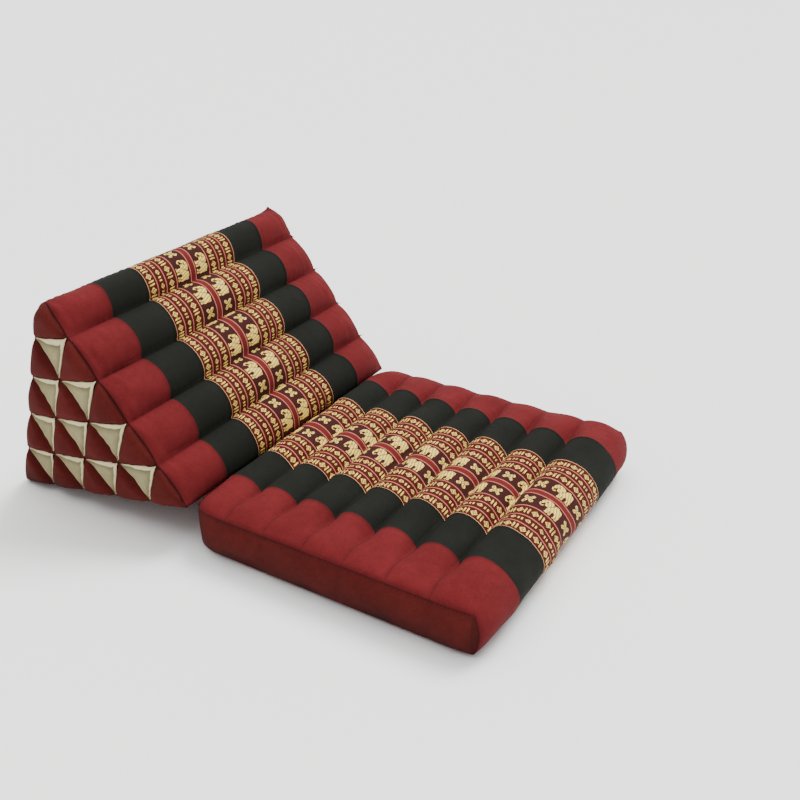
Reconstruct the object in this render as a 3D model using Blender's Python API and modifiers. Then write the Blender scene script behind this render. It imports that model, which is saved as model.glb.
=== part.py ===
"""A Thai triangle cushion with one fold-out mat, laid open.

The backrest is a triangular prism sewn from rows of stuffed tubes. Its front, back and base show five
rolls each, and each end shows fifteen red pads with ten pale cloth inserts between them. The mat is a
flat cushion of seven sewn channels, joined to the backrest's lower front edge by a strip of cloth.

Metres, +Z up. The rolls run along X, the mat points to -Y, and the floor is at z = 0.
"""

import math

import bmesh
import bpy
from mathutils import Vector

# Backrest
WIDTH = 0.500
ROWS = 5
TUBE = 0.0702
BASE_TILT = math.radians(10.6)
BACK_FOOT = Vector((0.0, 0.3460, 0.0015))
FRONT_ROLL_HEIGHTS = (0.018, 0.020, 0.020, 0.020, 0.019)
BACK_ROLL_HEIGHT = 0.008
BASE_ROLL_HEIGHT = 0.012
RIDGE_DROP = 0.013
RIDGE_SPAN = 0.6
RIDGE_INSET = 0.005
CORNER_DROP = 0.005
END_SEAM_SHARE = 0.16
ROLL_END_LENGTH = 0.055
END_CROWN = 0.010
PAD_HEIGHT = 0.009
RECESS_DEPTH = 0.011

# Mat
CHANNELS = 7
CHANNEL_PITCH = 0.0629
FOLD_GAP = 0.0016
MAT_LENGTH = CHANNELS * CHANNEL_PITCH
SEAM_HEIGHT = 0.064
CROWN_HEIGHT = 0.084
LAST_CROWN_HEIGHT = 0.086
EDGE_SEAM_HEIGHT = 0.065
LOW_SEAM_HEIGHT = 0.006
SIDE_BULGE = 0.009
FRONT_BULGE = 0.020
BACK_BULGE = 0.003
CORNER_SPAN = 0.045
FRONT_CORNER_INSET = 0.003
BACK_CORNER_INSET = 0.009
STITCH_START = 0.015
STITCH_FULL = 0.078
SIDE_FALL = 0.070
EDGE_CREASE = 0.004
BOTTOM_FALL = 0.035

# Sewn-on cloth
CLOTH = 0.002
GAP = 0.0004
INSERT_GAP = 0.0012
INSERT_SCALE = 0.91
LIP_HEIGHT = 0.0055
HINGE_DROP = 0.018

# Mesh steps
STEPS = 5
INSERT_STEPS = 6
STATIONS = (0.004, 0.012, 0.026, 0.048, ROLL_END_LENGTH, WIDTH / 2)
MAT_ACROSS = 16
MAT_UP = 4
CHANNEL_STEPS = 5

FORWARD = Vector((0.0, -math.cos(BASE_TILT), math.sin(BASE_TILT))) * TUBE
BACK_SLOPE = BASE_TILT + math.radians(60)
DOWN_BACK = Vector((0.0, math.cos(BACK_SLOPE), -math.sin(BACK_SLOPE))) * TUBE
APEX = BACK_FOOT - ROWS * DOWN_BACK

COLOURS = {
    "red_cloth": (0.30, 0.035, 0.04, 1.0),
    "pale_cloth": (0.62, 0.58, 0.42, 1.0),
    "dark_red_cloth": (0.16, 0.02, 0.02, 1.0),
}


def clear_scene():
    for old in list(bpy.data.objects):
        bpy.data.objects.remove(old, do_unlink=True)


def cloth_material(name, roughness=0.9):
    material = bpy.data.materials.new(name)
    material.use_nodes = True
    shader = material.node_tree.nodes["Principled BSDF"]
    shader.inputs["Base Color"].default_value = COLOURS[name]
    shader.inputs["Roughness"].default_value = roughness
    shader.inputs["Metallic"].default_value = 0.0
    return material


def add_object(bm, name, collection, material):
    bmesh.ops.recalc_face_normals(bm, faces=bm.faces)
    mesh = bpy.data.meshes.new(name)
    bm.to_mesh(mesh)
    bm.free()
    mesh.shade_smooth()
    mesh.set_sharp_from_angle(angle=math.radians(35))
    mesh.materials.append(material)
    made = bpy.data.objects.new(name, mesh)
    collection.objects.link(made)
    return made


# Shared curves

def arc(t, height, chord):
    """Height of a circular arc over its chord, at the share t of the chord."""
    if height <= 0:
        return 0.0
    radius = (chord * chord / 4 + height * height) / (2 * height)
    along = (t - 0.5) * chord
    return math.sqrt(max(radius * radius - along * along, 0.0)) - (radius - height)


def rise(distance, length):
    """A quarter ellipse from 0 at a seam to 1 at the given length from it."""
    share = min(max(distance / length, 0.0), 1.0)
    return math.sqrt(1 - (1 - share) ** 2)


def ease(value, low, high):
    share = min(max((value - low) / (high - low), 0.0), 1.0)
    return share * share * (3 - 2 * share)


# The backrest's lattice: rows count down from the apex, columns forward from the back

def lattice_point(row, column):
    return APEX + row * DOWN_BACK + column * FORWARD


def cell_at(row, column, rows=ROWS):
    """(True for an upright cell, its three corners, the shares of each) at a point of a lattice."""
    top = min(math.floor(row + 1e-6), rows - 1)
    back = min(math.floor(column + 1e-6), top)
    down = row - top
    ahead = column - back
    if ahead <= down + 1e-6:
        corners = ((top, back), (top + 1, back), (top + 1, back + 1))
        return True, corners, (1 - down, down - ahead, ahead)
    corners = ((top, back), (top, back + 1), (top + 1, back + 1))
    return False, corners, (1 - ahead, ahead - down, down)


def pillow(shares, power):
    """1 in the middle of a cell and 0 on its seams."""
    first, second, third = (max(share, 0.0) for share in shares)
    return (27 * first * second * third) ** power


def end_depth(row, column):
    """How far the end panel stands out of the plane of its seams."""
    upright, _, shares = cell_at(row, column)
    apex_share = 1 - row / ROWS
    front_share = column / ROWS
    back_share = 1 - apex_share - front_share
    crown = END_CROWN * pillow((apex_share, front_share, back_share), 0.5)
    if upright:
        return crown + PAD_HEIGHT * pillow(shares, 0.55)
    return crown - RECESS_DEPTH * pillow(shares, 0.5)


def facet_depth(row, column):
    """The depth of the end panel's facets, which cut the corners of its curves."""
    _, corners, shares = cell_at(row * STEPS, column * STEPS, ROWS * STEPS)
    return sum(share * end_depth(r / STEPS, c / STEPS) for share, (r, c) in zip(shares, corners))


def outward_directions():
    """Unit vectors out of the front, base and back faces."""
    centre = lattice_point(ROWS * 2 / 3, ROWS / 3)
    found = {}
    for face, start, end in (
        ("front", (0, 0), (ROWS, ROWS)),
        ("base", (ROWS, 0), (ROWS, ROWS)),
        ("back", (0, 0), (ROWS, 0)),
    ):
        first, last = lattice_point(*start), lattice_point(*end)
        along = (last - first).normalized()
        offset = (first + last) / 2 - centre
        found[face] = (offset - offset.dot(along) * along).normalized()
    return found


OUTWARD = outward_directions()


def roll_at(row, column):
    """(face, share along its roll, full height) of a point on the outline."""
    near = 1e-4
    if abs(column - row) < near:
        face, place = "front", row
    elif abs(row - ROWS) < near:
        face, place = "base", column
    else:
        face, place = "back", row
    index = min(math.floor(place + near), ROWS - 1)
    height = {
        "front": FRONT_ROLL_HEIGHTS[index],
        "base": BASE_ROLL_HEIGHT,
        "back": BACK_ROLL_HEIGHT,
    }[face]
    return face, place - index, height


def ridge_share(row):
    """1 along the backrest's ridge, and 0 from RIDGE_SPAN tubes below it."""
    return max(1 - row / RIDGE_SPAN, 0.0) ** 2


def outline_point(row, column, distance):
    """A point of the backrest's skin at a distance from its end seam."""
    face, share, height = roll_at(row, column)
    drawn_in = rise(distance, ROLL_END_LENGTH)
    grown = END_SEAM_SHARE + (1 - END_SEAM_SHARE) * drawn_in
    point = lattice_point(row, column) + OUTWARD[face] * arc(share, height * grown, TUBE)
    point.x = -WIDTH / 2 + distance + RIDGE_INSET * ridge_share(row) * (1 - drawn_in)
    drop = CORNER_DROP + (RIDGE_DROP - CORNER_DROP) * drawn_in
    point.z = max(point.z - drop * ridge_share(row), 0.0)
    return point


def end_point(row, column):
    """A point of the left end panel. Its rim bows with the rolls that it closes."""
    point = lattice_point(row, column)
    upright, ((top, back), _, _), (first, second, third) = cell_at(row, column)
    if upright:
        for on_rim, face, one, other, height in (
            (back == top, "front", first, third, FRONT_ROLL_HEIGHTS[top]),
            (top == ROWS - 1, "base", second, third, BASE_ROLL_HEIGHT),
            (back == 0, "back", first, second, BACK_ROLL_HEIGHT),
        ):
            both = one + other
            if on_rim and both > 1e-6:
                bow = arc(other / both, height * END_SEAM_SHARE, TUBE)
                point = point + OUTWARD[face] * bow * both * both
    point.x = -WIDTH / 2 - end_depth(row, column) + RIDGE_INSET * ridge_share(row)
    point.z = max(point.z - CORNER_DROP * ridge_share(row), 0.0)
    return point


def triangle_grid(steps):
    """A triangle cut into steps rows, and each vertex's shares of the three corners."""
    bm = bmesh.new()
    bmesh.ops.create_circle(bm, cap_ends=True, segments=3, radius=1.0)
    corners = [vertex.co.copy() for vertex in bm.verts]
    bmesh.ops.subdivide_edges(bm, edges=bm.edges, cuts=steps - 1, use_grid_fill=True)
    shares = {}
    whole = (corners[1] - corners[0]).cross(corners[2] - corners[0]).z
    for vertex in bm.verts:
        to_corners = [corner - vertex.co for corner in corners]
        shares[vertex] = tuple(
            to_corners[(k + 1) % 3].cross(to_corners[(k + 2) % 3]).z / whole for k in range(3)
        )
    return bm, shares


def make_backrest(collection, material):
    bm, shares = triangle_grid(ROWS * STEPS)
    place = {}
    for vertex, (_, back, front) in shares.items():
        row = round((back + front) * ROWS * STEPS) / STEPS
        column = round(front * ROWS * STEPS) / STEPS
        place[vertex] = (row, column)
        vertex.co = end_point(row, column)
    ring = [edge for edge in bm.edges if edge.is_boundary]
    for distance in STATIONS:
        before = {tuple(vertex.co): place[vertex] for edge in ring for vertex in edge.verts}
        made = bmesh.ops.extrude_edge_only(bm, edges=ring)["geom"]
        for vertex in (item for item in made if isinstance(item, bmesh.types.BMVert)):
            place[vertex] = before[tuple(vertex.co)]
            vertex.co = outline_point(*place[vertex], distance)
        ring = [item for item in made if isinstance(item, bmesh.types.BMEdge)]
    backrest = add_object(bm, "backrest_cushion", collection, material)
    mirror = backrest.modifiers.new("other_half", "MIRROR")
    mirror.use_axis = (True, False, False)
    mirror.merge_threshold = 0.0001
    return backrest


# The mat

def channel_profile(channel):
    """(share of the crown, crown height) at a place along the mat, in channels from the fold."""
    index = min(math.floor(channel + 1e-6), CHANNELS - 1)
    share = channel - index
    bow = arc(share, CROWN_HEIGHT - SEAM_HEIGHT, CHANNEL_PITCH) / (CROWN_HEIGHT - SEAM_HEIGHT)
    if index == CHANNELS - 1 and share > 0.5:
        bow = 1 - 0.5 * (2 * share - 1) ** 2
    return bow, LAST_CROWN_HEIGHT if index == CHANNELS - 1 else CROWN_HEIGHT


def mat_top(x, channel):
    from_side = WIDTH / 2 - abs(x)
    bow, crown_height = channel_profile(channel)
    crown = EDGE_SEAM_HEIGHT + (crown_height - EDGE_SEAM_HEIGHT) * rise(from_side, SIDE_FALL)
    sewn = ease(from_side, STITCH_START, STITCH_FULL)
    dip = EDGE_CREASE * rise(from_side, STITCH_START) * (1 - sewn) + (crown_height - SEAM_HEIGHT) * sewn
    valley = EDGE_SEAM_HEIGHT if channel < 0.5 or channel > CHANNELS - 0.5 else crown - dip
    return valley + (crown - valley) * bow


def mat_bottom(x, channel):
    from_side = WIDTH / 2 - abs(x)
    from_end = min(channel, CHANNELS - channel) * CHANNEL_PITCH
    lifted = 1 - rise(min(from_side, from_end), BOTTOM_FALL)
    seam = max(1 - 1.8 * channel_profile(channel)[0], 0.0)
    return LOW_SEAM_HEIGHT * max(lifted, seam)


def mat_end_bow(x, up, bulge):
    """How far an end stands out of its seams at a share up its height."""
    from_side = WIDTH / 2 - abs(x)
    return bulge * (0.35 + 0.65 * rise(from_side, SIDE_FALL)) * math.sin(math.pi * min(up, 1 - up))


def mat_point(across, channel, up, on_side, on_end):
    """A point of the mat's skin. across runs from -1 to 1, and up from 0 to 1."""
    x = across * WIDTH / 2
    low, high = mat_bottom(x, channel), mat_top(x, channel)
    point = Vector((x, -channel * CHANNEL_PITCH - FOLD_GAP, low + (high - low) * up))
    if on_side:
        along = min(channel, CHANNELS - channel) * CHANNEL_PITCH
        swell = math.sin(math.pi * min(up, 1 - up)) * rise(along, SIDE_FALL)
        point.x += math.copysign(SIDE_BULGE * swell, across)
    front = channel > CHANNELS / 2
    if on_end:
        bow = mat_end_bow(x, up, FRONT_BULGE if front else BACK_BULGE)
        point.y += -bow if front else bow
    from_side = WIDTH / 2 - abs(x)
    from_end = min(channel, CHANNELS - channel) * CHANNEL_PITCH
    side_share = max(1 - from_side / CORNER_SPAN, 0.0)
    end_share = max(1 - from_end / CORNER_SPAN, 0.0)
    inset = (FRONT_CORNER_INSET if front else BACK_CORNER_INSET) * side_share * end_share
    point.x -= math.copysign(inset * end_share, across)
    point.y -= -inset * side_share if front else inset * side_share
    return point


def side_station(share):
    """Sections stand closer together towards the mat's two sides."""
    return math.copysign(1 - (1 - abs(share)) ** 1.6, share)


def make_mat(collection, material):
    bm = bmesh.new()
    bmesh.ops.create_cube(bm, size=2.0)
    for axis, pieces in ((0, MAT_ACROSS), (1, CHANNELS * CHANNEL_STEPS), (2, MAT_UP)):
        along = [
            edge for edge in bm.edges
            if abs(edge.verts[0].co[axis] - edge.verts[1].co[axis]) > 1.0
        ]
        bmesh.ops.subdivide_edges(bm, edges=along, cuts=pieces - 1, use_grid_fill=True)
    for vertex in bm.verts:
        across, ahead, up = vertex.co
        channel = round((1 - ahead) / 2 * CHANNELS * CHANNEL_STEPS) / CHANNEL_STEPS
        vertex.co = mat_point(
            side_station(across), channel, (up + 1) / 2, abs(across) > 0.999, abs(ahead) > 0.999
        )
    return add_object(bm, "mat_cushion", collection, material)


# Cloth sewn on

def insert_point(row, column, shares, side):
    """A point of one pale insert, whose corners are top back, top front and bottom front."""
    corners = ((row, column), (row, column + 1), (row + 1, column + 1))
    spread = [(1 - math.cos(math.pi * share)) / 2 for share in shares]
    total = sum(spread)
    eased = [share / total for share in spread]
    scaled = [INSERT_SCALE * share + (1 - INSERT_SCALE) / 3 for share in eased]
    at_row = sum(share * corner[0] for share, corner in zip(scaled, corners))
    at_column = sum(share * corner[1] for share, corner in zip(scaled, corners))
    point = end_point(at_row, at_column)
    point.x = -WIDTH / 2 - facet_depth(at_row, at_column)
    top_lip = shares[2] < 1e-6
    front_lip = shares[0] < 1e-6
    lip = 4 * shares[0] * shares[1] if top_lip else 4 * shares[1] * shares[2] if front_lip else 0.0
    point.x -= INSERT_GAP + LIP_HEIGHT * math.sqrt(max(lip, 0.0))
    if side > 0:
        point.x = -point.x
    return point


def make_inserts(collection, material):
    for side, side_name in ((-1, "left"), (1, "right")):
        for row in range(1, ROWS):
            for column in range(row):
                bm, shares = triangle_grid(INSERT_STEPS)
                for vertex, of_corners in shares.items():
                    vertex.co = insert_point(row, column, of_corners, side)
                bmesh.ops.recalc_face_normals(bm, faces=bm.faces)
                if sum(face.normal.x for face in bm.faces) * side < 0:
                    bmesh.ops.reverse_faces(bm, faces=bm.faces)
                name = f"insert_{side_name}_{row}_{column + 1}"
                mesh = bpy.data.meshes.new(name)
                bm.to_mesh(mesh)
                bm.free()
                mesh.materials.append(material)
                insert = bpy.data.objects.new(name, mesh)
                collection.objects.link(insert)
                thicken = insert.modifiers.new("cloth", "SOLIDIFY")
                thicken.thickness = CLOTH
                thicken.offset = 1.0


def make_hinge(collection, material):
    bm = bmesh.new()
    bmesh.ops.create_grid(bm, x_segments=MAT_ACROSS - 2, y_segments=3, size=1.0)
    for vertex in bm.verts:
        x = side_station(vertex.co.x * (1 - 2 / MAT_ACROSS)) * WIDTH / 2
        drop = (1 - vertex.co.y) / 2 * HINGE_DROP
        high = mat_top(x, 0)
        low = mat_bottom(x, 0)
        up = (high - drop - low) / (high - low)
        back_face = mat_point(x * 2 / WIDTH, 0, up, False, True)
        vertex.co = Vector((x, back_face.y + GAP, back_face.z))
    bmesh.ops.recalc_face_normals(bm, faces=bm.faces)
    if sum(face.normal.y for face in bm.faces) < 0:
        bmesh.ops.reverse_faces(bm, faces=bm.faces)
    mesh = bpy.data.meshes.new("hinge_strip")
    bm.to_mesh(mesh)
    bm.free()
    mesh.materials.append(material)
    hinge = bpy.data.objects.new("hinge_strip", mesh)
    collection.objects.link(hinge)
    thicken = hinge.modifiers.new("cloth", "SOLIDIFY")
    thicken.thickness = CLOTH
    thicken.offset = 1.0


def centre_on_floor(objects):
    """Puts the origin on the floor, under the middle of the whole cushion."""
    bpy.context.view_layer.update()
    graph = bpy.context.evaluated_depsgraph_get()
    along = [
        (made.matrix_world @ Vector(corner)).y
        for made in objects
        for corner in made.evaluated_get(graph).bound_box
    ]
    middle = (min(along) + max(along)) / 2
    for made in objects:
        made.location.y = -middle


def main():
    clear_scene()
    parts = bpy.data.collections.new("thai_triangle_cushion")
    bpy.context.scene.collection.children.link(parts)
    red = cloth_material("red_cloth")
    make_backrest(parts, red)
    make_mat(parts, red)
    make_inserts(parts, cloth_material("pale_cloth"))
    make_hinge(parts, cloth_material("dark_red_cloth"))
    centre_on_floor(list(parts.objects))


main()
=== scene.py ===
"""The looks of a Thai triangle cushion with one fold-out mat: its stuffed covers, cloths and stitching.

The covers follow the same sizes as the solids that they replace. Metres, +Z up. The shapes are worked
out with y = 0 at the fold line and moved to where the solids lie at the end.
"""

import math

import bpy
import numpy as np
from mathutils import Matrix, Vector


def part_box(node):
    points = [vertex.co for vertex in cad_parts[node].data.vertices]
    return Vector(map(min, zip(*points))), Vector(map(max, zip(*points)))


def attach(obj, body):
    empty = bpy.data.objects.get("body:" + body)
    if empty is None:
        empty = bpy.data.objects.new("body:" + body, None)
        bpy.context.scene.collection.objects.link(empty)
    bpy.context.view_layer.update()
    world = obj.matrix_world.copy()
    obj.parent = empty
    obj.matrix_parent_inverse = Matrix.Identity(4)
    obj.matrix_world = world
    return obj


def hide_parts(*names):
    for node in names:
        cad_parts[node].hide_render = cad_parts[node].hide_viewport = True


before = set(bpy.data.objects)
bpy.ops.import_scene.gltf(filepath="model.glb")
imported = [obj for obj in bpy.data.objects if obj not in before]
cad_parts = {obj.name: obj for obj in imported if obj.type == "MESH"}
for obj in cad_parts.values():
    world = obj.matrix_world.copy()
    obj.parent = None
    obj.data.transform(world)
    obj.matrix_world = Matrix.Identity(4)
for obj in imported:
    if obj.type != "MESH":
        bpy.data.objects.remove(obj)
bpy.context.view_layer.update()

# Backrest, as its solid
WIDTH = 0.500
ROWS = 5
TUBE = 0.0702
BASE_TILT = math.radians(10.6)
BACK_FOOT = np.array([0.0, 0.3460, 0.0015])
FRONT_ROLL_HEIGHTS = (0.018, 0.020, 0.020, 0.020, 0.019)
BACK_ROLL_HEIGHT = 0.008
BASE_ROLL_HEIGHT = 0.012
RIDGE_DROP = 0.013
RIDGE_SPAN = 0.6
RIDGE_INSET = 0.005
CORNER_DROP = 0.005
WORN_CORNER_DROP = 0.008
WORN_CORNER_INSET = 0.006
END_SEAM_SHARE = 0.16
ROLL_END_LENGTH = 0.055
END_CROWN = 0.010
PAD_HEIGHT = 0.009
RECESS_DEPTH = 0.011
BACK_SLOPE = BASE_TILT + math.radians(60)
FORWARD = TUBE * np.array([0.0, -math.cos(BASE_TILT), math.sin(BASE_TILT)])
DOWN_BACK = TUBE * np.array([0.0, math.cos(BACK_SLOPE), -math.sin(BACK_SLOPE)])
APEX = BACK_FOOT - ROWS * DOWN_BACK
CELL_HEIGHT = TUBE * math.sqrt(0.75)
CELL_SEAM = 0.0007

# Mat, as its solid
CHANNELS = 7
CHANNEL_PITCH = 0.0629
MAT_LENGTH = CHANNELS * CHANNEL_PITCH
FOLD_GAP = 0.0016
SEAM_HEIGHT = 0.064
CROWN_HEIGHT = 0.084
LAST_CROWN_HEIGHT = 0.086
EDGE_SEAM_HEIGHT = 0.065
LOW_SEAM_HEIGHT = 0.006
SIDE_BULGE = 0.009
FRONT_BULGE = 0.020
BACK_BULGE = 0.003
CORNER_SPAN = 0.045
FRONT_CORNER_INSET = 0.003
BACK_CORNER_INSET = 0.009
STITCH_START = 0.015
STITCH_FULL = 0.078
SIDE_FALL = 0.070
EDGE_CREASE = 0.004
BOTTOM_FALL = 0.035

# Cloth strips sewn side by side, as distances from the middle of the width
PATTERN_EDGE = 0.096
BLACK_EDGE = 0.169

# Place of an elephant's middle along each front roll, from the ridge down
ELEPHANT_CENTRES = (0.0560, 0.0340, 0.0540, 0.0295, 0.0540)

# Unevenness of the stuffed covers
LUMP = 0.0012
GROOVE = 0.0009
GROOVE_HALF = 0.0022
CALM = 0.02

# Mesh steps, and the number of faces across each cloth strip of the two covers
ROLL_STEPS = 16
MAT_CHANNEL_STEPS = 18
MAT_UP_STEPS = 16
INSERT_STEPS = 52
STRIP_EDGES = (-WIDTH / 2, -BLACK_EDGE, -PATTERN_EDGE, PATTERN_EDGE, BLACK_EDGE, WIDTH / 2)
BACKREST_STEPS = (26, 22, 50, 22, 26)
MAT_STEPS = (26, 20, 44, 20, 26)

# Material slots of the two covers
RED_SLOT, BLACK_SLOT, PATTERN_SLOT, END_SLOT = range(4)

TINY = 1e-6
ABOVE_FLOOR = 0.0003

FOLD_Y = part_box("mat_cushion")[0][1] + MAT_LENGTH + FOLD_GAP + FRONT_BULGE


# Curves that the covers share

def arc(t, height, chord):
    """Height of a circular arc over its chord, at the share t of the chord."""
    height = np.maximum(height, 1e-5)
    radius = (chord * chord / 4 + height * height) / (2 * height)
    along = (t - 0.5) * chord
    return np.sqrt(np.maximum(radius**2 - along**2, 0.0)) - (radius - height)


def rise(distance, length):
    """A quarter ellipse from 0 at a seam to 1 at the given length from it."""
    share = np.clip(distance / length, 0.0, 1.0)
    return np.sqrt(1 - (1 - share) ** 2)


def ease(value, low, high):
    share = np.clip((value - low) / (high - low), 0.0, 1.0)
    return share * share * (3 - 2 * share)


def stations(edges, steps):
    """Places across the width, closer together near the given edges."""
    found = []
    for (start, end), count in zip(zip(edges, edges[1:]), steps):
        share = (1 - np.cos(np.linspace(0, math.pi, count, endpoint=False))) / 2
        found += list(start + (end - start) * share)
    return np.array(found + [edges[-1]])


def waves(points, length, seed, count=9):
    """A smooth uneven field of about -1 to 1, from sine waves that cross in set directions."""
    chance = np.random.default_rng(seed)
    total = np.zeros(points.shape[:-1])
    for _ in range(count):
        way = chance.normal(size=3)
        way /= np.linalg.norm(way)
        turns = chance.uniform(0.7, 1.5) / length
        total += np.sin(2 * math.pi * (points @ way * turns + chance.uniform()))
    return total / math.sqrt(count)


def grid_normals(points):
    """Unit normals of a grid of points, by its rows and columns."""
    along = np.gradient(points, axis=0)
    across = np.gradient(points, axis=1)
    normal = np.cross(along, across)
    return normal / np.maximum(np.linalg.norm(normal, axis=-1, keepdims=True), 1e-12)


def path_lengths(points):
    """Distance along a path of points, from its first point to each of them."""
    return np.concatenate([[0.0], np.cumsum(np.linalg.norm(np.diff(points, axis=0), axis=1))])


def strip_slot(middle):
    """The material slot of the cloth strip at this distance from the middle of the width."""
    return PATTERN_SLOT if middle < PATTERN_EDGE else BLACK_SLOT if middle < BLACK_EDGE else RED_SLOT


def from_strips(x):
    """Distance from the nearest seam between two cloth strips."""
    return np.minimum(np.abs(np.abs(x) - PATTERN_EDGE), np.abs(np.abs(x) - BLACK_EDGE))


# Objects

def add_object(name, data):
    made = bpy.data.objects.new(name, data)
    bpy.context.scene.collection.objects.link(made)
    return made


def add_piece(name, points, faces, materials, slots=None, uv=None, fields=None):
    """A mesh object. The uv is given for each point or each face corner, the fields for each point."""
    mesh = bpy.data.meshes.new(name)
    placed = np.asarray(points, float) + [0.0, FOLD_Y, 0.0]
    mesh.from_pydata(placed.tolist(), [], [list(map(int, face)) for face in faces])
    for material in materials:
        mesh.materials.append(material)
    if slots is not None:
        mesh.polygons.foreach_set("material_index", np.asarray(slots, np.int32))
    if uv is not None:
        layer = mesh.uv_layers.new(name="cloth")
        uv = np.asarray(uv, float)
        if len(uv) != len(mesh.loops):
            corners = np.empty(len(mesh.loops), np.int32)
            mesh.loops.foreach_get("vertex_index", corners)
            uv = uv[corners]
        layer.data.foreach_set("uv", uv.ravel())
    for field, values in (fields or {}).items():
        layer = mesh.attributes.new(field, "FLOAT", "POINT")
        layer.data.foreach_set("value", np.asarray(values, np.float32))
    mesh.shade_smooth()
    mesh.validate()
    mesh.update()
    made = add_object(name, mesh)
    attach(made, "root")
    return made


def thicken(piece, thickness):
    """Give a sheet its thickness, outwards from its mesh."""
    modifier = piece.modifiers.new("cloth", "SOLIDIFY")
    modifier.thickness = thickness
    modifier.offset = 1.0


# The backrest

# Where the cloth's pattern starts on each roll from the ridge down. Every roll is cut on its own.
ELEPHANT_MIDDLE = 0.0150
ROLL_PHASES = [ELEPHANT_MIDDLE - centre for centre in ELEPHANT_CENTRES]

# The puckers beside the valleys, and the gathers at both ends
GATHER = 0.0008
GATHER_REACH = 0.045
GATHER_CALM = 0.012
PUCKER = 0.00035
PUCKER_PITCH = 0.013
PUCKER_PLACE = 0.006
PUCKER_REACH = 0.005
PUCKER_CALM = 0.05
PANEL_LUMP = 0.0009
PANEL_CALM = 0.125
PILLOW_POWER = 0.42


def lattice(row, column):
    row, column = np.asarray(row, float), np.asarray(column, float)
    return APEX + row[..., None] * DOWN_BACK + column[..., None] * FORWARD


def cells_at(row, column):
    """(True for upright cells, row and column of the cell, shares of its three corners)."""
    top = np.minimum(np.floor(row + TINY), ROWS - 1)
    back = np.minimum(np.floor(column + TINY), top)
    down, ahead = row - top, column - back
    upright = ahead <= down + TINY
    first = np.where(upright, 1 - down, 1 - ahead)
    second = np.where(upright, down - ahead, ahead - down)
    third = np.where(upright, ahead, down)
    return upright, top, back, np.stack([first, second, third], -1)


def pillow(shares, power):
    """1 in the middle of a triangle and 0 on its edges, from the shares of its corners."""
    return (27 * np.prod(np.maximum(shares, 0.0), axis=-1)) ** power


def end_depth(row, column):
    """How far the end panel stands out: upright cells are padded, and the others are sunk."""
    upright, _, _, shares = cells_at(row, column)
    whole = np.stack([1 - row / ROWS, (row - column) / ROWS, column / ROWS], -1)
    crown = END_CROWN * pillow(whole, 0.5)
    raised = crown + PAD_HEIGHT * pillow(shares, PILLOW_POWER)
    sunk = crown - RECESS_DEPTH * pillow(shares, PILLOW_POWER)
    return np.where(upright, raised, sunk)


def outward_of(start, end):
    """The way out of the backrest, square to the face between two corners."""
    centre = lattice(ROWS * 2 / 3, ROWS / 3)
    first, last = lattice(*start), lattice(*end)
    along = (last - first) / np.linalg.norm(last - first)
    offset = (first + last) / 2 - centre
    offset -= offset @ along * along
    return offset / np.linalg.norm(offset)


OUTWARD = np.array([
    outward_of((0, 0), (ROWS, ROWS)),
    outward_of((ROWS, 0), (ROWS, ROWS)),
    outward_of((0, 0), (ROWS, 0)),
])


FACE_STEPS = ROWS * ROLL_STEPS


def outline_places():
    """Rows and columns of the points round the backrest, with their face, roll and share of it."""
    n = FACE_STEPS
    k = np.arange(3 * n)
    face, place = k // n, (k % n) / ROLL_STEPS
    row = np.where(face == 0, place, np.where(face == 1, ROWS, ROWS - place))
    column = np.where(face == 0, place, np.where(face == 1, ROWS - place, 0.0))
    heights = np.array([FRONT_ROLL_HEIGHTS, [BASE_ROLL_HEIGHT] * ROWS, [BACK_ROLL_HEIGHT] * ROWS])
    roll = np.floor(place + TINY).astype(int)
    return row, column, face, place - roll, heights[face, roll]


def ridge_share(row, face=0):
    """1 on the ridge of the backrest, and 0 from RIDGE_SPAN of a row below it."""
    return np.where(face == 1, 0.0, np.maximum(1 - row / RIDGE_SPAN, 0.0) ** 2)


def backrest_skin(x):
    """Points of the tubes' skin, one row of the grid for each place x across the width."""
    row, column, face, share, height = outline_places()
    from_end = (WIDTH / 2 - np.abs(x))[:, None]
    drawn_in = rise(from_end, ROLL_END_LENGTH)
    grown = END_SEAM_SHARE + (1 - END_SEAM_SHARE) * drawn_in
    points = lattice(row, column)[None] + OUTWARD[face][None] * arc(share, height * grown, TUBE)[..., None]
    ridge = ridge_share(row, face)[None]
    points[..., 0] = x[:, None] - np.sign(x)[:, None] * RIDGE_INSET * ridge * (1 - drawn_in)
    points[..., 2] -= (CORNER_DROP + (RIDGE_DROP - CORNER_DROP) * drawn_in) * ridge
    worn = np.where(x < 0, 1.0, 0.0)[:, None] * (1 - drawn_in) * ridge
    points[..., 0] += WORN_CORNER_INSET * worn
    points[..., 2] -= WORN_CORNER_DROP * worn

    # Creases and unevenness
    valley = np.minimum(share, 1 - share)[None] * TUBE
    sewn = np.exp(-((from_strips(x)[:, None] / GROOVE_HALF) ** 2))
    lumps = waves(points, length=0.075, seed=3)
    gathers = waves(points * [3.0, 1.0, 1.0], length=0.035, seed=4)
    gathers = gathers * np.exp(-((from_end / GATHER_REACH) ** 2))
    shift = 2.5 * waves(points, length=0.09, seed=5)[:, :1].ravel()
    puckers = np.sin(2 * math.pi * x / PUCKER_PITCH + shift)[:, None]
    puckers = puckers * np.exp(-(((valley - PUCKER_PLACE) / PUCKER_REACH) ** 2))
    inside = rise(valley, CALM) * rise(from_end, CALM)
    depth = (LUMP * lumps - GROOVE * sewn) * inside
    depth += GATHER * gathers * rise(from_end, GATHER_CALM) * rise(valley, GATHER_CALM)
    depth += PUCKER * puckers * rise(from_end, PUCKER_CALM)
    points += grid_normals(points) * depth[..., None]
    points[..., 2] = np.maximum(points[..., 2], ABOVE_FLOOR)
    return points


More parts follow.
